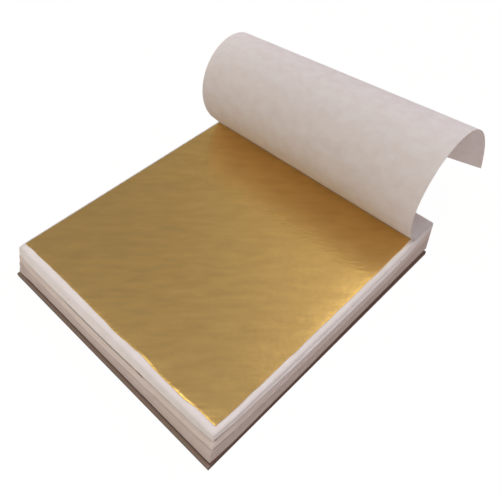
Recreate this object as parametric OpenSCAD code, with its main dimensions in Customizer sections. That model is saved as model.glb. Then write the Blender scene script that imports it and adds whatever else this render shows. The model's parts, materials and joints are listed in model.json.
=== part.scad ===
// Booklet of loose metal leaf for gilding, lying on its back board.
// X runs along the binding, +Y points from the fore-edge to the binding and +Z is up.
// The origin is the centre of the back board's underside.
// The top tissue is turned back about its crease and rolls over the binding.

/* [Leaf] */
// Width of a metal leaf, along the binding
leaf_w = 142; // [60:1:200]
// Length of a metal leaf, from the fore-edge towards the binding
leaf_l = 139; // [60:1:200]
// Thickness drawn for a leaf, which is really under a thousandth of a millimetre
leaf_t = 0.01; // [0.005:0.005:0.05]

/* [Tissue] */
// Thickness of one tissue page, with the air that its fluff holds
tissue_t = 0.125; // [0.05:0.005:0.2]
// Bare tissue beside the leaf at the left edge
left_margin = 0.7; // [0.2:0.1:10]
// Bare tissue beside the leaf at the right edge
right_margin = 2.6; // [0.2:0.1:10]
// Bare tissue in front of the leaf at the fore-edge
fore_margin = 3.7; // [0.5:0.1:15]
// Tissue held behind the crease, measured at the crease's left end
binding_margin = 19.7; // [14:0.1:30]

/* [Block] */
// Sections that the block is gathered from, the lowest first
sections = 4; // [2:1:4]
// Leaves in one section, each on a tissue of its own
section_leaves = 25; // [5:5:30]
// How far the top page has slipped to the right of the bottom page
lean_side = -2.8; // [-4:0.1:4]
// How far the top page has slipped towards the binding
lean_spine = 5.8; // [0:0.1:6.5]
// Middle of the bottom page, to the right of the board's middle
block_side = -0.5; // [-2:0.1:2]
// Middle of the bottom page, behind the board's middle
block_spine = 1.9; // [-1:0.1:2.5]

/* [Board] */
// Thickness of the back board
board_t = 2.5; // [1.5:0.1:5]
// How much wider than a page the board is
board_extra_w = 1.7; // [-1:0.1:10]
// How much longer than a page the board is
board_extra_l = 0.2; // [-1:0.1:10]

/* [Staples] */
// Width of a staple, between the middles of its legs
staple_span = 12; // [8:0.5:20]
// Distance between the middles of the two staples
staple_apart = 80; // [30:1:100]
// Distance of the staples behind the crease, measured at its right end
staple_back = 3.6; // [2:0.1:5]
// Width of the flat wire
wire_w = 0.7; // [0.4:0.05:1.2]
// Thickness of the flat wire
wire_t = 0.5; // [0.3:0.05:0.8]
// Length of each clinched wire end under the board
clinch_l = 4; // [2:0.1:5]
// Room around the wire in the holes that it pierces
wire_fit = 0.05; // [0.02:0.01:0.15]

/* [Turned page] */
// Gap between the leaf's back edge and the crease, at the crease's left end
crease_gap = 0.6; // [0.2:0.1:5]
// How much further back the crease's right end lies
crease_skew = 2; // [0:0.1:6]
// Air under the turned page when it lies closed on the leaf
page_gap = 0.05; // [0.02:0.01:0.3]
// Flat bands that the turned page is folded into
bands = 12; // [6:1:12]
// Angle by which the page stands up from the leaf at the crease
crease_angle = 52; // [20:1:80]
// Angle by which the page then rolls back, from the crease to its free edge
roll_angle = 207; // [60:1:240]
// How much of the roll gathers at its tightest place
roll_swing = 0.37; // [0:0.01:0.9]
// Distance of the tightest place from the crease
roll_peak = 38; // [0:1:140]
// Distance over which the tightness comes and goes
roll_period = 230; // [60:1:300]
// Distance from the crease to a fold at its left end, as a share of that at its right end
band_taper = 1.145; // [0.9:0.005:1.2]
// How much of that share goes from the crease to the free edge
band_fan = 0.42; // [0.1:0.01:0.45]

/* [Hidden] */
pitch = tissue_t + leaf_t;
leaf_count = sections * section_leaves;
groups = 5;
group_leaves = section_leaves / groups;
letters = "abcde";
cut = 1;

page_w = left_margin + leaf_w + right_margin;
page_l = fore_margin + leaf_l + crease_gap + binding_margin;
board_w = page_w + board_extra_w;
board_l = page_l + board_extra_l;

// Top of the highest leaf, underside and upper side of the turned page where it is bound
leaf_top = board_t + leaf_count * pitch;
page_z = leaf_top + page_gap;
hinge_z = page_z + tissue_t;

// Corners of the page that lies a number of pages up, the bottom page being 0
function page_left(i) = block_side + lean_side * i / leaf_count - page_w / 2;
function page_right(i) = page_left(i) + page_w;
function page_fore(i) = block_spine + lean_spine * i / leaf_count - page_l / 2;
function page_back(i) = page_fore(i) + page_l;

// The crease is one straight line, seen from above, for the whole top section
crease_left = page_fore(leaf_count) + fore_margin + leaf_l + crease_gap;
crease_right = crease_left + crease_skew;
function crease_at(x) = crease_left + crease_skew * (x - page_left(leaf_count)) / page_w;

staple_y = crease_right + staple_back;
staple_mid = block_side + lean_side / 2;
crown_z = hinge_z;

// Distance from the crease to each fold, along the page's right and left edges
free_l = crease_right - page_fore(leaf_count);
band_w = free_l / bands;
function fold_right(k) = k * band_w;
function fold_left(k) = fold_right(k) * (band_taper - band_fan * k / bands);

// Angle of each fold: the crease first, then shares of the roll
function share(k) = 1 + roll_swing * cos(360 * (fold_right(k) - roll_peak) / roll_period);
function total(v, i = 0) = i < len(v) ? v[i] + total(v, i + 1) : 0;
all_shares = total([for (k = [1 : bands - 1]) share(k)]);
function fold_angle(k) = k == 0 ? crease_angle : roll_angle * share(k) / all_shares;

function section_name(s, what) = str("section_", s, "_", what);
function group_name(s, what, g) = str("section_", s, "_", what, "_", letters[g]);
function band_name(k) = str("turned_page_band_", k < 9 ? "0" : "", k + 1);

// Four holes where the legs of the two staples pierce a sheet
module leg_holes() {
    for (side = [-1, 1], leg = [-1, 1])
        translate([staple_mid + side * staple_apart / 2 + leg * staple_span / 2, staple_y])
            square([wire_t + 2 * wire_fit, wire_w + 2 * wire_fit], center = true);
}

// Outline of a whole page
module page_outline(i) {
    translate([page_left(i), page_fore(i)]) square([page_w, page_l]);
}

// Outline of the part of a page that turns, in front of the crease
module turning_outline(i) {
    polygon([
        [page_left(i), page_fore(i)],
        [page_right(i), page_fore(i)],
        [page_right(i), crease_at(page_right(i))],
        [page_left(i), crease_at(page_left(i))]
    ]);
}

// Outline of the part of a page that the staples hold, behind the crease
module margin_outline(i) {
    polygon([
        [page_left(i), crease_at(page_left(i))],
        [page_right(i), crease_at(page_right(i))],
        [page_right(i), page_back(i)],
        [page_left(i), page_back(i)]
    ]);
}

module tissue(i) {
    translate([0, 0, board_t + i * pitch])
        linear_extrude(tissue_t) difference() {
            page_outline(i);
            leg_holes();
        }
}

module turning_tissue(i) {
    translate([0, 0, board_t + i * pitch])
        linear_extrude(tissue_t) turning_outline(i);
}

module margin_tissue(i) {
    translate([0, 0, board_t + i * pitch])
        linear_extrude(tissue_t) difference() {
            margin_outline(i);
            leg_holes();
        }
}

// A leaf lies on the tissue of its own number
module leaf(i) {
    translate([page_left(i) + left_margin, page_fore(i) + fore_margin,
               board_t + i * pitch + tissue_t])
        cube([leaf_w, leaf_l, leaf_t]);
}

// First and last page of a group, counted from the board
function group_first(s, g) = (s - 1) * section_leaves + g * group_leaves;
function group_last(s, g) = group_first(s, g) + group_leaves - 1;

module tissues(s, g) {
    color([0.87, 0.83, 0.81])
        for (i = [group_first(s, g) : group_last(s, g)])
            if (s == sections) turning_tissue(i); else tissue(i);
}

// The highest leaf of all is the exposed one, which is a piece of its own
module leaves(s, g) {
    color([0.80, 0.63, 0.30])
        for (i = [group_first(s, g) : min(group_last(s, g), leaf_count - 2)])
            leaf(i);
}

module section_margins() {
    color([0.87, 0.83, 0.81])
        for (i = [(sections - 1) * section_leaves : leaf_count - 1])
            margin_tissue(i);
}

module exposed_leaf() {
    color([0.72, 0.57, 0.30]) leaf(leaf_count - 1);
}

// Back board, with pockets under it that hold the clinched wire ends flush
module back_board() {
    pocket_t = wire_t + wire_fit;
    color([0.36, 0.27, 0.22]) difference() {
        translate([-board_w / 2, -board_l / 2, 0]) cube([board_w, board_l, board_t]);
        translate([0, 0, -cut]) linear_extrude(board_t + 2 * cut) leg_holes();
        for (side = [-1, 1])
            translate([staple_mid + side * staple_apart / 2, staple_y, (pocket_t - cut) / 2])
                cube([staple_span + wire_t + 2 * wire_fit, wire_w + 2 * wire_fit, pocket_t + cut],
                     center = true);
    }
}

// Staple of flat wire: crown on the turned page's strip, legs, and ends bent inwards below
module staple(side) {
    leg_h = crown_z + wire_t;
    translate([staple_mid + side * staple_apart / 2, staple_y - wire_w / 2, 0])
        color([0.75, 0.75, 0.77]) union() {
            translate([-staple_span / 2 - wire_t / 2, 0, crown_z])
                cube([staple_span + wire_t, wire_w, wire_t]);
            for (leg = [0, 1]) mirror([leg, 0, 0]) {
                translate([staple_span / 2 - wire_t / 2, 0, 0]) cube([wire_t, wire_w, leg_h]);
                translate([staple_span / 2 + wire_t / 2 - clinch_l, 0, 0])
                    cube([clinch_l, wire_w, wire_t]);
            }
        }
}

// Strip of the turned page that stays under the staples
module turned_page_strip() {
    color([0.87, 0.83, 0.81]) translate([0, 0, page_z])
        linear_extrude(tissue_t) difference() {
            margin_outline(leaf_count);
            leg_holes();
        }
}

// Ends of a fold in the flat page; the last one is the page's free edge
function fold_r(k) = [page_right(leaf_count),
    k < bands ? crease_right - fold_right(k) : page_fore(leaf_count)];
function fold_l(k) = [page_left(leaf_count),
    k < bands ? crease_left - fold_left(k) : page_fore(leaf_count)];

// Turns its children about one fold by that fold's angle
module turn_fold(k) {
    from = [fold_r(k)[0], fold_r(k)[1], hinge_z];
    along = [fold_l(k)[0] - fold_r(k)[0], fold_l(k)[1] - fold_r(k)[1], 0];
    translate(from) rotate(a = fold_angle(k), v = along) translate(-from) children();
}

// Carries its children from the flat page to where band k lies, fold by fold
module folded(k) {
    if (k == 0) turn_fold(0) children();
    else folded(k - 1) turn_fold(k) children();
}

// Flat band between two folds; a fold lies on the upper face, so that a band opens a gap below it
module page_band(k) {
    color([0.85, 0.80, 0.78])
        folded(k) translate([0, 0, page_z])
            linear_extrude(tissue_t)
                polygon([fold_r(k), fold_l(k), fold_l(k + 1), fold_r(k + 1)]);
}

back_board();
staple(-1);  // staple_left
staple(1);  // staple_right
exposed_leaf();
turned_page_strip();
section_margins();
for (s = [1 : sections], g = [0 : groups - 1]) {
    tissues(s, g);
    leaves(s, g);
}
for (k = [0 : bands - 1])
    page_band(k);
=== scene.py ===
import json
import bmesh
import bpy
import numpy as np
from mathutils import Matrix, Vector


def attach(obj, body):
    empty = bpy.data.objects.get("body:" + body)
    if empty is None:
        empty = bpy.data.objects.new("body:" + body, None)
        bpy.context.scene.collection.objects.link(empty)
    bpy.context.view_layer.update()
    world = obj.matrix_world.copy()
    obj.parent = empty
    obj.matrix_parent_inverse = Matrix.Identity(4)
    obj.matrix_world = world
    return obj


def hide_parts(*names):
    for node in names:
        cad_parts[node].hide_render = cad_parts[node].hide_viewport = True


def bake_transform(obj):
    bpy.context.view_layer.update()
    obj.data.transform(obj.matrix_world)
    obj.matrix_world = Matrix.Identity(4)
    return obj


# Gold leaf booklet: the finish of every piece, the light and the camera.
# Lengths are millimetres until a mesh is made. X runs along the binding, +Y points to it, +Z is up.
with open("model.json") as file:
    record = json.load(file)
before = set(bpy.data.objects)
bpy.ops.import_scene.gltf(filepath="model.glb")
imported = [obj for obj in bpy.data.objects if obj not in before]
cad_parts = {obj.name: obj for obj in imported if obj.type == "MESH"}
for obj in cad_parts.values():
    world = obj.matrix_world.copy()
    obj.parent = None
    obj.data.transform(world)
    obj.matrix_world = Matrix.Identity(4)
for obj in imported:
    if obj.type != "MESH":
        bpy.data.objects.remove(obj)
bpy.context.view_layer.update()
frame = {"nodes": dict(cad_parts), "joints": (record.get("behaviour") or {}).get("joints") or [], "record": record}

# One millimetre in metres
MM = 0.001

# Leaves, pages and board, as in the part's source
LEAF_W, LEAF_L, LEAF_T = 142.0, 139.0, 0.01
TISSUE_T, PAGE_GAP = 0.125, 0.05
LEFT_MARGIN, RIGHT_MARGIN, FORE_MARGIN, BINDING_MARGIN = 0.7, 2.6, 3.7, 19.7
SECTIONS, SECTION_LEAVES = 4, 25
LEAN_SIDE, LEAN_SPINE = -2.8, 5.8
BLOCK_SIDE, BLOCK_SPINE = -0.5, 1.9
BOARD_T, BOARD_EXTRA_W, BOARD_EXTRA_L = 2.5, 1.7, 0.2
CREASE_GAP, CREASE_SKEW, CREASE_ANGLE = 0.6, 2.0, 52
BANDS, BAND_TAPER, BAND_FAN = 12, 1.145, 0.42

# What follows from them
PAGES = SECTIONS * SECTION_LEAVES
PAGE_W = LEFT_MARGIN + LEAF_W + RIGHT_MARGIN
PAGE_L = FORE_MARGIN + LEAF_L + CREASE_GAP + BINDING_MARGIN
BOARD_W, BOARD_L = PAGE_W + BOARD_EXTRA_W, PAGE_L + BOARD_EXTRA_L
BLOCK_H = PAGES * (TISSUE_T + LEAF_T)
BLOCK_TOP = BOARD_T + BLOCK_H
HINGE_Z = BLOCK_TOP + PAGE_GAP + TISSUE_T

# The top page's right edge and fore-edge, both ends of its crease, and the width of a band
PAGE_RIGHT = BLOCK_SIDE + LEAN_SIDE + PAGE_W / 2
PAGE_FORE = BLOCK_SPINE + LEAN_SPINE - PAGE_L / 2
CREASE_LEFT = PAGE_FORE + FORE_MARGIN + LEAF_L + CREASE_GAP
CREASE_RIGHT = CREASE_LEFT + CREASE_SKEW
BAND_W = (CREASE_RIGHT - PAGE_FORE) / BANDS

# In the room that one page has in the block: where its tissue ends, and where its leaf lies
TISSUE_FILL = 0.90
LEAF_FROM, LEAF_TO = 0.925, 0.985

# How far the block's fore-edge reaches in front of the top page's: a row for the board and for
# each parting above it, a column for each station on the way from the left edge to the right
STATIONS = [0.0, 0.06, 0.5, 0.93, 1.0]
FORWARD = [[6.3, 5.8, 5.8, 5.8, 5.8],
           [4.8, 5.55, 6.1, 5.2, 4.9],
           [3.3, 4.4, 5.05, 3.4, 2.9],
           [1.8, 2.9, 2.94, 1.6, 0.9],
           [0.2, 0.0, 0.0, 0.0, 0.0]]

# How far the right edge bulges, at the board and at the top, by distance from the fore-edge
SIDE_AT = [0, 12, 60, 100, 135, 150]
SIDE_OUT = [[0.4, 0.9, 0.8, 0.4, 0.1, 0.0],
            [0.0, 0.9, 1.0, 1.0, 0.8, 0.0]]

# How deep a section's edges draw back under the next one, from the lowest section up, at the
# fore-edge and at the right, and the share of the block's height over which they do
NOTCH_FORE = [1.4, 2.4, 3.1, 0.0]
NOTCH_RIGHT = [0.3, 0.5, 0.7, 0.0]
NOTCH_H = 0.11

# How far the rims stand apart: at the board, at each parting above it, and at the top
GAPS = [0.2, 0.6, 1.5, 1.9, 0.0]

# How far in from an edge its partings and its pages' own moves reach
RIM = 6

# How deep the block's top sinks at the fore-edge, at the right edge and at the corner between
# them, how far in each reaches, and how far in the tight lip at both edges does
FORE_SAG, FORE_REACH = 0.30, 6
RIGHT_SAG, RIGHT_REACH = 0.45, 8
CORNER_SAG, CORNER_REACH = 0.25, 14
LIP_REACH = 1.5

# How far a page's edges stray on their own, and in waves that its neighbours share. The waves
# come in over the first pages above the board, and both go out over as many below the top
STRAY, WAVE, CALM_PAGES = 0.05, 0.24, 10

# The bare leaf's fore-edge: how far it reaches out over the tissue, by distance from its left
# end, and the middle and half width of the two places where it curls most
EDGE_AT = [0, 30, 67, 75, 84, 93, 98, 103, 112, 124, 129, 142]
EDGE_OUT = [0.35, 0.2, 0.8, 1.2, 0.9, 0.3, 0.5, 0.95, 1.05, 1.2, 0.3, 0.1]
CURLS = [(99, 5), (121, 6)]

# How far the bare leaf keeps from the crease, how high it lies over its tissue, the least that it
# may, and the level that it stays under, just below the closed page
LEAF_CLEAR, LEAF_LIFT, LEAF_LEAST = 0.25, 0.10, 0.02
LEAF_CEILING = BLOCK_TOP + 0.7 * PAGE_GAP

# The turned page's thickness and its grid: rows to a band, and columns across
PAPER_T = 0.11
ROWS_PER_BAND, COLUMNS = 12, 31


# Meshes

# One unit of the UV map: a decimetre
UV_UNIT = 100


def grid_faces(rows, columns):
    """Quads of a grid of points kept row by row. With columns to the right and rows going away
    they face up."""
    first = (np.arange(rows - 1)[:, None] * columns + np.arange(columns - 1)).ravel()
    return np.stack([first, first + 1, first + columns + 1, first + columns], 1)


def rim(rows, columns):
    """The grid's outermost points, once round, anticlockwise seen from the side it faces."""
    index = np.arange(rows * columns).reshape(rows, columns)
    return np.concatenate([index[0, :-1], index[:-1, -1], index[-1, :0:-1], index[:0:-1, 0]])


def closed_sheet(lower, upper):
    """Points, faces and smooth flags of a thin closed sheet: the upper grid, the lower grid
    turned over, and one wall of quads round the rim."""
    rows, columns = upper.shape[:2]
    count = rows * columns
    top = grid_faces(rows, columns)
    edge = rim(rows, columns)
    after = np.roll(edge, -1)
    wall = np.stack([edge, edge + count, after + count, after], 1)
    points = np.concatenate([upper.reshape(-1, 3), lower.reshape(-1, 3)])
    faces = np.concatenate([top, top[:, ::-1] + count, wall])
    return points, faces, np.arange(len(faces)) < 2 * len(top)


def piece(name, sheets, material, flat=None, normals=None):
    """One object made of closed sheets. flat gives each point's place on the flat page, which
    becomes the UV map in decimetres; normals takes the place of the shading normals."""
    starts = np.cumsum([0] + [len(s[0]) for s in sheets])
    points = np.concatenate([s[0] for s in sheets]) * MM
    faces = np.concatenate([s[1] + start for s, start in zip(sheets, starts)])
    mesh = bpy.data.meshes.new(name)
    mesh.from_pydata(points.tolist(), [], faces.tolist())
    mesh.polygons.foreach_set("use_smooth", np.concatenate([s[2] for s in sheets]))
    if flat is not None:
        corner = np.empty(len(mesh.loops), np.int32)
        mesh.loops.foreach_get("vertex_index", corner)
        mesh.uv_layers.new(name="page").data.foreach_set("uv", (flat[corner] / UV_UNIT).ravel())
    if normals is not None:
        mesh.normals_split_custom_set_from_vertices(normals.tolist())
    mesh.materials.append(material)
    made = bpy.data.objects.new(name, mesh)
    bpy.context.collection.objects.link(made)
    return made


# Shapes

def rise(value, start, end):
    """Smoothstep: 0 up to the start, 1 from the end on, with no kink at either."""
    share = np.clip((value - start) / (end - start), 0, 1)
    return share * share * (3 - 2 * share)


def fade(distance, reach):
    """Exponential that falls from 1 at an edge to about a third at the reach."""
    return np.exp(-distance / reach)


def ripple(x, y, seed, count, shortest, longest):
    """Plane waves added up, each of random direction and phase and with a wavelength between the
    shortest and the longest. The sum stays within about -1 to 1."""
    dice = np.random.default_rng(seed)
    turn, phase = dice.uniform(0, 2 * np.pi, (2, count))
    rate = 2 * np.pi / dice.uniform(shortest, longest, count)
    x, y = np.broadcast_arrays(x, y)
    along = x[..., None] * np.cos(turn) + y[..., None] * np.sin(turn)
    return np.sin(along * rate + phase).sum(-1) / np.sqrt(2 * count)


def forward(level, s):
    """How far in front of the top page's the fore-edge lies: FORWARD, straight between its
    entries in both directions."""
    rows = np.stack([np.interp(s, STATIONS, row) for row in FORWARD])
    place = np.clip(level * SECTIONS, 0, SECTIONS - 1e-9)
    below = int(place)
    return rows[below] + (rows[below + 1] - rows[below]) * (place - below)


def droop(s, t):
    """How far the top of the block sinks: at the fore-edge and at the right edge the sum of a
    wide and of a tight exponential, weaker at the right edge's front end, and one more at their
    corner. None of it reaches the binding."""
    fore, right = t * PAGE_L, (1 - s) * PAGE_W
    sunk_fore = FORE_SAG * ((1 - 0.4 * s) * fade(fore, FORE_REACH) + fade(fore, LIP_REACH))
    sunk_right = RIGHT_SAG * (fade(right, RIGHT_REACH) + fade(right, LIP_REACH))
    sunk_right = sunk_right * (0.3 + 0.7 * rise(t, 0.1, 0.35))
    sunk_corner = CORNER_SAG * fade(np.hypot(fore, right), CORNER_REACH)
    return (sunk_fore + sunk_right + sunk_corner) * (1 - rise(t, 0.7, 0.86))


def notch(level, depths):
    """How far an edge draws back at a level: just below each parting a depth that fades with the
    square of the distance to it, so that the section above overhangs."""
    place = min(level * SECTIONS + 1e-9, SECTIONS - 1e-9)
    near = max(0.0, 1 - (1 - place % 1) / SECTIONS / NOTCH_H)
    return depths[int(place)] * near ** 2


def bulge(level, t):
    """How far the right edge lies out: SIDE_OUT, straight between its entries, and the top
    section's shoulder, where each page reaches a little less far than the one below."""
    low, high = (np.interp(t * PAGE_L, SIDE_AT, row) for row in SIDE_OUT)
    shoulder = rise(1 - level, 0, 0.22) * rise(t, 0, 0.4) * (1 - rise(t, 0.85, 0.97))
    return low + (high - low) * level + shoulder * level


def block(s, t, level, shift=(0.0, 0.0)):
    """Points of the block. s runs from the left edge to the right, t from the fore-edge to the
    binding, level from the board up. The pages lean in a straight line as the solids do, the
    fore-edge then follows its own table, and at the rim the sections draw back and part. shift
    moves one page's right edge and its fore-edge out."""
    number = min(int(level * SECTIONS + 1e-9), SECTIONS - 1)
    within = level * SECTIONS - number
    left, right = fade(s * PAGE_W, RIM), fade((1 - s) * PAGE_W, RIM)
    right = right * (1 - rise(t, 0.72, 0.92))
    fore = fade(t * PAGE_L, RIM) * (1 - 0.8 * left)
    near = np.clip(fore + right * (0.3 + 0.7 * fade(t * PAGE_L, 2 * RIM)), 0, 1)
    apart = (GAPS[number] * (1 - within) - GAPS[number + 1] * within) / 2 * near
    x = BLOCK_SIDE + LEAN_SIDE * level + PAGE_W * (s - 0.5) + shift[0] * (0.3 * left + right)
    x = x - notch(level, NOTCH_RIGHT) * right + bulge(level, t) * rise(s, 0, 1) ** 2
    reach = forward(level, s) - LEAN_SPINE * (1 - level) + shift[1]
    y = BLOCK_SPINE + LEAN_SPINE * level + PAGE_L * (t - 0.5)
    y = y - reach * (1 - rise(t, 0, 0.3)) ** 2 + notch(level, NOTCH_FORE) * fore
    z = BOARD_T + BLOCK_H * level - droop(s, t) * level ** 2 + apart
    return np.stack(np.broadcast_arrays(x, y, z), -1)


def spaced(count, crowd):
    """Numbers from 0 to 1 that crowd towards both ends: t plus a share of sin(2 pi t)."""
    t = np.linspace(0, 1, count)
    return t - crowd * np.sin(2 * np.pi * t) / (2 * np.pi)


# Lines of every tissue's grid: across the page, and from the fore-edge to the binding
ACROSS, ALONG = spaced(22, 0.75), spaced(26, 0.75)


def page_sheet(number):
    """Tissue of one page: the block between two levels, with its right edge and fore-edge moved a
    little. The waves run up the block, 4 to 15 pages long, and the fore-edge takes them from half
    a block further on, so that the two edges differ."""
    dice = np.random.default_rng(400 + number)
    s, t = np.meshgrid(ACROSS, ALONG)
    waves = WAVE * ripple(number + np.array([0, PAGES / 2]), 0, 77, 5, 4, 15)
    stray = dice.normal(0, STRAY, 2) + waves * rise(number, 0, CALM_PAGES)
    shift = stray * rise(PAGES - 2 - number, 0, CALM_PAGES)
    lower = block(s, t, number / PAGES, shift)
    upper = block(s, t, (number + TISSUE_FILL) / PAGES, shift)
    return closed_sheet(lower, upper)


def between(lines, low, high):
    """The grid lines that lie between two bounds, and the bounds themselves."""
    return np.concatenate([[low], lines[(lines > low) & (lines < high)], [high]])


def leaf_sheet(number):
    """Covered leaf of one page, thin, between its tissue and the next one. It has the tissue's
    own grid lines, so that it lies along it wherever that curves."""
    s, t = np.meshgrid(between(ACROSS, LEFT_MARGIN / PAGE_W, (LEFT_MARGIN + LEAF_W) / PAGE_W),
                       between(ALONG, FORE_MARGIN / PAGE_L, (FORE_MARGIN + LEAF_L) / PAGE_L))
    lower = block(s, t, (number + LEAF_FROM) / PAGES)
    upper = block(s, t, (number + LEAF_TO) / PAGES)
    return closed_sheet(lower, upper)


def bare_leaf():
    """The exposed leaf: the top page's surface with broad swells, 22 to 60 mm long, and fine
    creases. Its back edge reaches to the crease and its fore-edge follows EDGE_OUT. There it
    lifts over 3 mm and turns down over the last half millimetre, most at two places, bell curves
    along the edge. Its right edge is a little ragged and lifts in slow waves."""
    u, v = np.meshgrid(spaced(175, 0.7), spaced(171, 0.7))
    x, y = u * LEAF_W, v * LEAF_L
    right = LEAF_W - x
    out = np.interp(x, EDGE_AT, EDGE_OUT) + 0.10 * ripple(x, 0 * y, 31, 5, 3, 9)
    ragged = 0.12 * ripple(0 * x, y, 32, 5, 5, 20) * fade(right, 2)
    back = CREASE_GAP - LEAF_CLEAR + CREASE_SKEW * u
    s = (LEFT_MARGIN + x + ragged) / PAGE_W
    t = (FORE_MARGIN + y - out * fade(y, 4) + back * fade(LEAF_L - y, 8)) / PAGE_L
    ground = block(s, t, (PAGES - 1 + TISSUE_FILL) / PAGES)
    swell = 0.05 * ripple(x, y, 7, 9, 22, 60)
    crease = 0.014 * ripple(x, y, 8, 14, 4.5, 10)
    curled = 0.2 + sum(np.exp(-((x - middle) / half) ** 2) for middle, half in CURLS)
    fore = curled * (0.20 * fade(y, 3) - 0.24 * fade(y, 0.6))
    side = 0.12 * fade(right, 3.5) * (1 + ripple(0 * x, y, 10, 4, 18, 50))
    height = np.clip(LEAF_LIFT + swell + crease + fore + side, LEAF_LEAST, None)
    upper = ground + height[..., None] * [0, 0, 1]
    upper[..., 2] = np.minimum(upper[..., 2], LEAF_CEILING)
    return closed_sheet(upper - [0, 0, LEAF_T], upper)


def turn_matrix(axis, angle):
    """Rotation about a unit axis by an angle in radians (Rodrigues)."""
    x, y, z = axis
    cross = np.array([[0, -z, y], [z, 0, -x], [-y, x, 0]])
    return np.eye(3) + np.sin(angle) * cross + (1 - np.cos(angle)) * cross @ cross


def fold_lines():
    """Right and left ends of the lines that bound the turned page's bands, as it lies rolled
    back. Each is its place on the flat page, carried by every fold before it. The folds' angles
    are the crease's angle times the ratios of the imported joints."""
    ratio = {c["joint"]: c["ratio"] for c in frame["record"]["behaviour"]["couplings"]}
    angles = [CREASE_ANGLE * ratio.get(f"page_roll_{k:02d}", 1) for k in range(1, BANDS + 1)]
    k = np.arange(BANDS + 1)
    y_right = CREASE_RIGHT - k * BAND_W
    y_left = CREASE_LEFT - k * BAND_W * (BAND_TAPER - BAND_FAN * k / BANDS)
    y_right[-1] = y_left[-1] = PAGE_FORE
    right = np.stack([np.full(BANDS + 1, PAGE_RIGHT), y_right, np.full(BANDS + 1, HINGE_Z)], 1)
    left = np.stack([right[:, 0] - PAGE_W, y_left, right[:, 2]], 1)
    turned, moved = np.eye(3), np.zeros(3)
    ends = np.empty((BANDS + 1, 2, 3))
    for i, angle in enumerate(angles):
        ends[i] = right[i] @ turned.T + moved, left[i] @ turned.T + moved
        along = (left[i] - right[i]) / np.linalg.norm(left[i] - right[i])
        turn = turn_matrix(along, np.radians(angle))
        moved = turned @ (right[i] - turn @ right[i]) + moved
        turned = turned @ turn
    ends[-1] = right[-1] @ turned.T + moved, left[-1] @ turned.T + moved
    return ends


def page_surface(v, columns):
    """Smooth turned page: the uniform quadratic B-spline that the fold lines control, straight in
    the first and last half band, and straight across. v counts bands from the crease."""
    ends = fold_lines()
    control = np.concatenate([[2 * ends[0] - ends[1]], ends, [2 * ends[-1] - ends[-2]]])
    middle = np.clip(np.floor(v + 0.5).astype(int), 0, BANDS)
    tau = (v - middle + 0.5)[:, None, None]
    line = (0.5 * (1 - tau) ** 2 * control[middle] + (0.5 + tau * (1 - tau)) * control[middle + 1]
            + 0.5 * tau ** 2 * control[middle + 2])
    across = np.linspace(0, 1, columns)[None, :, None]
    return line[:, :1] * (1 - across) + line[:, 1:] * across


# Materials

# Dark specks in the tissue: their radius and how far apart they lie
SPECK_RADIUS, SPECK_APART = 0.31, 11.1


def srgb(code):
    """Linear colour with alpha of an sRGB hex code."""
    v = np.array([int(code[i:i + 2], 16) for i in (0, 2, 4)]) / 255
    return (*np.where(v <= 0.04045, v / 12.92, ((v + 0.055) / 1.055) ** 2.4), 1.0)


def add(tree, kind, inputs=None, **settings):
    """Adds a node. A setting is one of its properties; an input is a value, or the socket that
    feeds it."""
    made = tree.nodes.new(kind)
    for name, value in settings.items():
        setattr(made, name, value)
    for name, value in (inputs or {}).items():
        if isinstance(value, bpy.types.NodeSocket):
            tree.links.new(value, made.inputs[name])
        else:
            made.inputs[name].default_value = value
    return made


def pattern_scale(size, unit=1.0):
    """Scale of a pattern whose lumps are this many millimetres wide, in coordinates in which one
    metre counts as unit."""
    return 1 / (size * MM * unit)


def new_material(name):
    """Empty node material and its tree."""
    made = bpy.data.materials.new(name)
    made.use_nodes = True
    made.node_tree.nodes.clear()
    return made, made.node_tree


def tissue_paper(name, coordinate, unit, whites, through):
    """Unsized tissue, soft and fluffy: chalk white with cloudy formation, a few dark specks of
    fibre and no gloss. The clouds give the eye soft paper, the specks its scale. unit is one metre
    in the coordinates used, whites the two tones of the clouds, and through the share of light
    that a face lets in: a single sheet glows warm where the light is behind it."""
    made, tree = new_material(name)
    place = add(tree, "ShaderNodeTexCoord").outputs[coordinate]
    # Clouds about 6 mm wide
    clouds = add(tree, "ShaderNodeTexNoise", {"Vector": place, "Scale": pattern_scale(6.25, unit),
                                              "Detail": 5.0, "Roughness": 0.62})
    tone = add(tree, "ShaderNodeMix", {0: clouds.outputs["Fac"], 6: srgb(whites[0]),
                                       7: srgb(whites[1])}, data_type="RGBA")
    # Specks up to 0.6 mm across: balls at points some 11 mm apart, so that few meet the surface
    specks = add(tree, "ShaderNodeTexVoronoi",
                 {"Vector": place, "Scale": pattern_scale(SPECK_APART, unit)})
    chosen = add(tree, "ShaderNodeMath", {0: specks.outputs["Distance"],
                                          1: SPECK_RADIUS / SPECK_APART}, operation="LESS_THAN")
    colour = add(tree, "ShaderNodeMix", {0: chosen.outputs[0], 6: tone.outputs[2],
                                         7: srgb("A79A92")}, data_type="RGBA")
    bump = add(tree, "ShaderNodeBump", {"Height": clouds.outputs["Fac"], "Strength": 0.12,
                                        "Distance": 0.3 * MM})
    shader = add(tree, "ShaderNodeBsdfPrincipled",
                 {"Base Color": colour.outputs[2], "Roughness": 0.9, "Specular IOR Level": 0.15,
                  "Normal": bump.outputs[0]})
    glow = add(tree, "ShaderNodeBsdfTranslucent", {"Color": colour.outputs[2]})
    sheet = add(tree, "ShaderNodeMixShader", {0: through, 1: shader.outputs[0],
                                              2: glow.outputs[0]})
    add(tree, "ShaderNodeOutputMaterial", {"Surface": sheet.outputs[0]})
    return made


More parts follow.
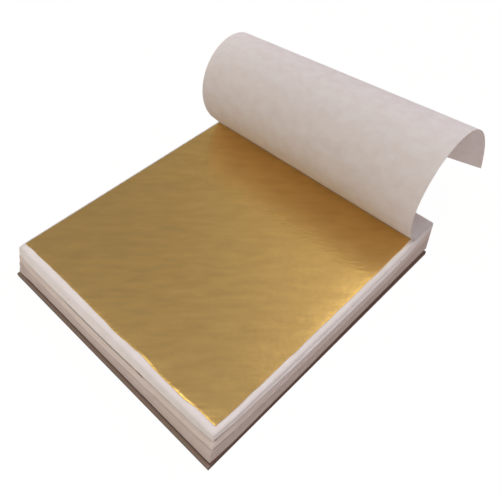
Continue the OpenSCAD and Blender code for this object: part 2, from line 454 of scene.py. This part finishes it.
def metal_leaf():
    """Beaten brass leaf: warm and thin, so every fine crease catches light. Semi-gloss with a
    faint milky haze, because the tissue's texture shows through it."""
    made, tree = new_material("beaten_brass_leaf")
    place = add(tree, "ShaderNodeTexCoord").outputs["Object"]
    # Creases about 14 mm long and 3.5 mm apart that run towards the right back corner
    turned = add(tree, "ShaderNodeMapping",
                 {"Vector": place, "Rotation": (0, 0, np.radians(44.12)),
                  "Scale": (14 * MM, 3.5 * MM, 10 * MM)}, vector_type="TEXTURE")
    creases = add(tree, "ShaderNodeTexNoise", {"Vector": turned.outputs[0], "Scale": 1.0,
                                               "Detail": 3.0, "Roughness": 0.55})
    # The tissue's texture, coarser than the real one so that it shows: 2.4 mm
    tissue = add(tree, "ShaderNodeTexNoise", {"Vector": place, "Scale": pattern_scale(2.38),
                                              "Detail": 3.0})
    height = add(tree, "ShaderNodeMath", {0: tissue.outputs["Fac"], 1: 0.35,
                                          2: creases.outputs["Fac"]}, operation="MULTIPLY_ADD")
    bump = add(tree, "ShaderNodeBump", {"Height": height.outputs[0], "Strength": 0.38,
                                        "Distance": 0.4 * MM})
    # The colour goes lighter and darker with the creases: painted light and shade that shows them on the flat leaf
    colour = add(tree, "ShaderNodeMix", {0: creases.outputs["Fac"], 6: srgb("D2A750"),
                                         7: srgb("F3C868")}, data_type="RGBA")
    shader = add(tree, "ShaderNodeBsdfPrincipled",
                 {"Base Color": colour.outputs[2], "Metallic": 1.0, "Roughness": 0.23,
                  "Coat Weight": 1.0, "Coat Roughness": 0.5, "Coat IOR": 1.6,
                  "Normal": bump.outputs[0]})
    add(tree, "ShaderNodeOutputMaterial", {"Surface": shader.outputs[0]})
    return made


def brown_board():
    """Recycled millboard, dark reddish brown and fibrous, painted a paler grey-brown along the front rim: painted
    light, where the front edge catches the lamps. The paler rim outlines the board under the white pages."""
    made, tree = new_material("brown_millboard")
    place = add(tree, "ShaderNodeTexCoord").outputs["Object"]
    # Clumps of fibre about 1 mm wide
    fibre = add(tree, "ShaderNodeTexNoise", {"Vector": place, "Scale": pattern_scale(1.11),
                                             "Detail": 5.0, "Roughness": 0.7})
    face = add(tree, "ShaderNodeMix", {0: fibre.outputs["Fac"], 6: srgb("5C4439"),
                                       7: srgb("785C4F")}, data_type="RGBA")
    lit_tone = add(tree, "ShaderNodeMix", {0: fibre.outputs["Fac"], 6: srgb("7F6C60"),
                                       7: srgb("998577")}, data_type="RGBA")
    # Painted light over the front 1.1 mm, and less and less up to 1.7 mm
    axes = add(tree, "ShaderNodeSeparateXYZ", {0: place})
    painted_light_rim = add(tree, "ShaderNodeMapRange",
                 {"Value": axes.outputs["Y"], "From Min": (1.7 - BOARD_L / 2) * MM,
                  "From Max": (1.1 - BOARD_L / 2) * MM}, interpolation_type="SMOOTHSTEP")
    colour = add(tree, "ShaderNodeMix", {0: painted_light_rim.outputs[0], 6: face.outputs[2],
                                         7: lit_tone.outputs[2]}, data_type="RGBA")
    bump = add(tree, "ShaderNodeBump", {"Height": fibre.outputs["Fac"], "Strength": 0.3,
                                        "Distance": 0.3 * MM})
    shader = add(tree, "ShaderNodeBsdfPrincipled",
                 {"Base Color": colour.outputs[2], "Roughness": 0.85, "Specular IOR Level": 0.25,
                  "Normal": bump.outputs[0]})
    add(tree, "ShaderNodeOutputMaterial", {"Surface": shader.outputs[0]})
    return made


def staple_steel():
    """Flat zinc-coated stitching wire, drawn lengthwise: satin grey with fine changes of gloss,
    so that it reads as metal at once."""
    made, tree = new_material("zinc_coated_wire")
    place = add(tree, "ShaderNodeTexCoord").outputs["Object"]
    # Marks about 0.7 mm wide, coarser than the real ones so that they show
    drawn = add(tree, "ShaderNodeTexNoise", {"Vector": place, "Scale": pattern_scale(0.667),
                                             "Detail": 2.0})
    rough = add(tree, "ShaderNodeMapRange", {"Value": drawn.outputs["Fac"], "To Min": 0.28,
                                             "To Max": 0.45})
    shader = add(tree, "ShaderNodeBsdfPrincipled",
                 {"Base Color": srgb("B9BABC"), "Metallic": 1.0,
                  "Roughness": rough.outputs[0]})
    add(tree, "ShaderNodeOutputMaterial", {"Surface": shader.outputs[0]})
    return made


# Pieces

# Tones of the tissue from the lowest section up: the lower sections are painted darker and warmer, as painted
# shade on the fore-edge under the top section, which is painted the lightest
SECTION_TONES_WITH_PAINTED_SHADE = [("CAB8AD", "DFCEC4"), ("CAB8AD", "DFCEC4"), ("DAC9BE", "EEDED4"), ("E6DBD4", "FAF2EC")]
block_tissue = [tissue_paper(f"tissue_of_section_{number + 1}", "Object", 1.0, shade, 0.0)
                for number, shade in enumerate(SECTION_TONES_WITH_PAINTED_SHADE)]
page_tissue = tissue_paper("tissue_of_the_turned_page", "UV", 1 / (UV_UNIT * MM),
                           ("EFE5DF", "FFFDFB"), 0.45)
leaf_metal = metal_leaf()
board_brown = brown_board()
wire_steel = staple_steel()

# The block: five tissues, or five leaves, to a piece, as in the imported nodes.
LETTERS = "abcde"
GROUP = SECTION_LEAVES // len(LETTERS)
for section in range(SECTIONS):
    for g, letter in enumerate(LETTERS):
        first = (section * len(LETTERS) + g) * GROUP
        numbers = range(first, first + GROUP)
        name = f"section_{section + 1}_tissues_{letter}"
        made = piece(name + "_sheets", [page_sheet(n) for n in numbers], block_tissue[section])
        if section == SECTIONS - 1:
            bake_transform(made)
            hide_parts(name, "section_4_margins")
        else:
            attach(made, "pad")
            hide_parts(name)
        name = f"section_{section + 1}_leaves_{letter}"
        made = piece(name + "_sheets", [leaf_sheet(n) for n in numbers if n < PAGES - 1], leaf_metal)
        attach(made, "top_section" if section == SECTIONS - 1 else "pad")
        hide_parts(name)

leaf = piece("bare_leaf", [bare_leaf()], leaf_metal)
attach(leaf, "loose_leaf")
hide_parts("exposed_leaf")

# The turned page, in one piece for each fold between two bands
joints = {j["name"]: j for j in frame["joints"]}
v = np.linspace(0, BANDS, BANDS * ROWS_PER_BAND + 1)
surface = page_surface(v, COLUMNS)
across = np.gradient(surface, axis=1)
along = np.gradient(surface, axis=0)
normal = np.cross(across, along)
normal /= np.linalg.norm(normal, axis=2, keepdims=True)
flat = np.stack(np.meshgrid(np.linspace(PAGE_W, 0, COLUMNS), v * BAND_W), -1)
for k in range(1, BANDS):
    low = 0 if k == 1 else int((k - 0.5) * ROWS_PER_BAND)
    high = BANDS * ROWS_PER_BAND if k == BANDS - 1 else int((k + 0.5) * ROWS_PER_BAND)
    rows = slice(low, high + 1)
    inner = surface[rows]
    outer = inner - PAPER_T * normal[rows]
    places = flat[rows].reshape(-1, 2)
    facing = normal[rows].reshape(-1, 3)
    made = piece(f"turned_page_{k:02d}", [closed_sheet(outer, inner)], page_tissue,
                 np.concatenate([places, places]), np.concatenate([facing, -facing]))
    start = surface[int((k - 0.5) * ROWS_PER_BAND), COLUMNS // 2]
    end = surface[int((k + 0.5) * ROWS_PER_BAND), COLUMNS // 2]
    axis = np.array(joints[f"page_roll_{k + 1:02d}"]["axis"])
    end = end - axis * ((end - start) @ axis)
    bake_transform(made)
    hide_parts(f"turned_page_band_{k:02d}")
    if k == BANDS - 1:
        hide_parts(f"turned_page_band_{BANDS:02d}")

# The strip of it that stays under the staples, from the crease to the back edge
s, t = np.meshgrid(np.linspace(0, 1, COLUMNS), np.linspace(0, 1, 9))
crease = CREASE_LEFT + CREASE_SKEW * s
strip_top = np.stack([PAGE_RIGHT - PAGE_W * (1 - s), crease + (PAGE_FORE + PAGE_L - crease) * t,
                      np.full_like(s, HINGE_Z)], -1)
strip = piece("turned_page_strip_sheet", [closed_sheet(strip_top - [0, 0, PAPER_T], strip_top)],
              page_tissue, np.concatenate([strip_top.reshape(-1, 3)[:, :2]] * 2))
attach(strip, "pad")
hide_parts("turned_page_strip")


def solid(name, node, material):
    """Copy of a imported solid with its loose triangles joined, to be bevelled."""
    work = bmesh.new()
    work.from_mesh(frame["nodes"][node].data)
    bmesh.ops.remove_doubles(work, verts=work.verts, dist=0.001 * MM)
    mesh = bpy.data.meshes.new(name)
    work.to_mesh(mesh)
    work.free()
    mesh.materials.clear()
    mesh.materials.append(material)
    made = bpy.data.objects.new(name, mesh)
    bpy.context.collection.objects.link(made)
    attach(made, "pad")
    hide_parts(node)
    return made


# The board. Only the edges of its outer box are rounded, not those of its holes: those whose ends
# both lie on the same two of the box's six faces
board = solid("millboard", "back_board", board_brown)
corners = np.empty(3 * len(board.data.vertices))
board.data.vertices.foreach_get("co", corners)
corners = corners.reshape(-1, 3) / MM
walls = np.abs(np.stack([corners[:, 0] - BOARD_W / 2, corners[:, 0] + BOARD_W / 2,
                         corners[:, 1] - BOARD_L / 2, corners[:, 1] + BOARD_L / 2,
                         corners[:, 2], corners[:, 2] - BOARD_T], 1)) < 0.01
ends = np.empty(2 * len(board.data.edges), np.int32)
board.data.edges.foreach_get("vertices", ends)
shared = walls[ends[0::2]] & walls[ends[1::2]]
weight = board.data.attributes.new("bevel_weight_edge", "FLOAT", "EDGE")
weight.data.foreach_set("value", (shared.sum(1) > 1).astype(np.float32))
bevel = board.modifiers.new("rounded_rim", "BEVEL")
bevel.limit_method, bevel.width, bevel.segments = "WEIGHT", 0.3 * MM, 3

# The two staples of flat wire
for side in ("left", "right"):
    staple = solid(f"stitching_staple_{side}", f"staple_{side}", wire_steel)
    bevel = staple.modifiers.new("drawn_corners", "BEVEL")
    bevel.limit_method, bevel.width, bevel.segments = "ANGLE", 0.12 * MM, 2


# Floor

# A warm grey to the light that it throws back, almost white to the camera and in reflections.
# FLOOR_HALF is metres from the middle to a side, FLOOR_DOWN the gap under the board
FLOOR_HALF, FLOOR_DOWN = 6.0, 0.2 * MM
floor_material, tree = new_material("pale_floor")
paths = add(tree, "ShaderNodeLightPath").outputs
seen = add(tree, "ShaderNodeMath", {0: paths["Is Camera Ray"], 1: paths["Is Glossy Ray"]},
           operation="MAXIMUM")
seen = add(tree, "ShaderNodeMath", {0: seen.outputs[0], 1: paths["Is Transmission Ray"]},
           operation="MAXIMUM")
share = add(tree, "ShaderNodeMath", {0: seen.outputs[0], 1: 0.92}, operation="MULTIPLY")
lit = add(tree, "ShaderNodeBsdfDiffuse", {"Color": srgb("BDAFA4")})
glow = add(tree, "ShaderNodeEmission", {"Color": (1, 1, 1, 1), "Strength": 1.06})
both = add(tree, "ShaderNodeMixShader", {0: share.outputs[0], 1: lit.outputs[0],
                                         2: glow.outputs[0]})
add(tree, "ShaderNodeOutputMaterial", {"Surface": both.outputs[0]})
floor_mesh = bpy.data.meshes.new("floor")
corners = [(x * FLOOR_HALF, y * FLOOR_HALF, 0) for x, y in ((-1, -1), (1, -1), (1, 1), (-1, 1))]
floor_mesh.from_pydata(corners, [], [(0, 1, 2, 3)])
floor_mesh.materials.append(floor_material)
floor = bpy.data.objects.new("floor", floor_mesh)
floor.location.z = -FLOOR_DOWN
bpy.context.collection.objects.link(floor)


# Light

# Metres from the booklet's middle to each lamp, and the middle's height
LAMP_AWAY, MIDDLE_Z = 1.0, 0.02


def softbox(name, direction, size, power):
    """Square area lamp of a size in metres that looks at the booklet's middle from a direction."""
    lamp = bpy.data.lights.new(name, "AREA")
    lamp.shape, lamp.size, lamp.energy = "SQUARE", size, power
    made = bpy.data.objects.new(name, lamp)
    way = Vector(direction).normalized()
    made.location = way * LAMP_AWAY + Vector((0, 0, MIDDLE_Z))
    made.rotation_euler = way.to_track_quat("Z", "Y").to_euler()
    bpy.context.collection.objects.link(made)


# The key lamp keeps clear of the directions that the gold mirrors into the camera
softbox("key_softbox", (-0.02, -0.36, 0.93), 0.7, 3.7)
softbox("left_softbox", (-0.5, -0.3, 0.81), 0.4, 0.8)
softbox("back_softbox", (0.10, 0.53, 0.84), 0.4, 0.35)

# A soft white room: brightest high up at the back, where the gold reflects it to the camera, and
# in front low over the table, where the gold throws it up into the roll of the page. The camera
# itself sees plain white
BRIGHTEST = (0.15, 0.80, 0.58)
world = bpy.data.worlds.new("studio")
bpy.context.scene.world = world
world.use_nodes = True
tree = world.node_tree
way = add(tree, "ShaderNodeTexCoord").outputs["Generated"]
towards = add(tree, "ShaderNodeVectorMath", {0: way, 1: BRIGHTEST}, operation="DOT_PRODUCT")
towards = add(tree, "ShaderNodeMath", {0: towards.outputs["Value"], 1: 0.0}, operation="MAXIMUM")
lobe = add(tree, "ShaderNodeMath", {0: towards.outputs[0], 1: 8.0}, operation="POWER")
axes = add(tree, "ShaderNodeSeparateXYZ", {0: way})
front = add(tree, "ShaderNodeMapRange", {"Value": axes.outputs["Y"], "From Min": 0.0,
                                         "From Max": -1.0, "To Min": 0.0, "To Max": 1.0})
low = add(tree, "ShaderNodeMapRange", {"Value": axes.outputs["Z"], "From Min": 0.0,
                                       "From Max": 0.35, "To Min": 0.7, "To Max": -0.25})
walls = add(tree, "ShaderNodeMath", {0: front.outputs[0], 1: low.outputs[0], 2: 0.34},
            operation="MULTIPLY_ADD")
room = add(tree, "ShaderNodeMath", {0: lobe.outputs[0], 1: 1.6, 2: walls.outputs[0]},
           operation="MULTIPLY_ADD")
direct = add(tree, "ShaderNodeLightPath").outputs["Is Camera Ray"]
strength = add(tree, "ShaderNodeMath", {0: room.outputs[0], 1: direct}, operation="MAXIMUM")
# Warm walls, and a cooler light where it is brightest
tint = add(tree, "ShaderNodeMix", {0: lobe.outputs[0], 6: (1.0, 0.94, 0.87, 1.0),
                                   7: (0.90, 0.92, 1.35, 1.0)}, data_type="RGBA")
tint = add(tree, "ShaderNodeMix", {0: direct, 6: tint.outputs[2], 7: (1.0, 1.0, 1.0, 1.0)},
           data_type="RGBA")
tree.links.new(tint.outputs[2], tree.nodes["Background"].inputs["Color"])
tree.links.new(strength.outputs[0], tree.nodes["Background"].inputs["Strength"])

# Camera where the photograph was taken from: its place, the way it looks, turned from +Y and down
# from level, and its lens
CAMERA_AT = Vector((144.698, -129.93, 245.514))
CAMERA_TURN, CAMERA_DOWN = 44.087, 50.202
CAMERA_LENS, SENSOR_W = 41.743, 36
camera = bpy.data.objects.new("camera", bpy.data.cameras.new("camera"))
camera.data.lens = CAMERA_LENS
camera.data.sensor_width = SENSOR_W
camera.data.clip_start = 10 * MM
camera.location = CAMERA_AT * MM
camera.rotation_euler = (np.radians(90 - CAMERA_DOWN), 0, np.radians(CAMERA_TURN))
bpy.context.collection.objects.link(camera)
bpy.context.scene.camera = camera
bpy.context.scene.view_settings.view_transform = "Standard"
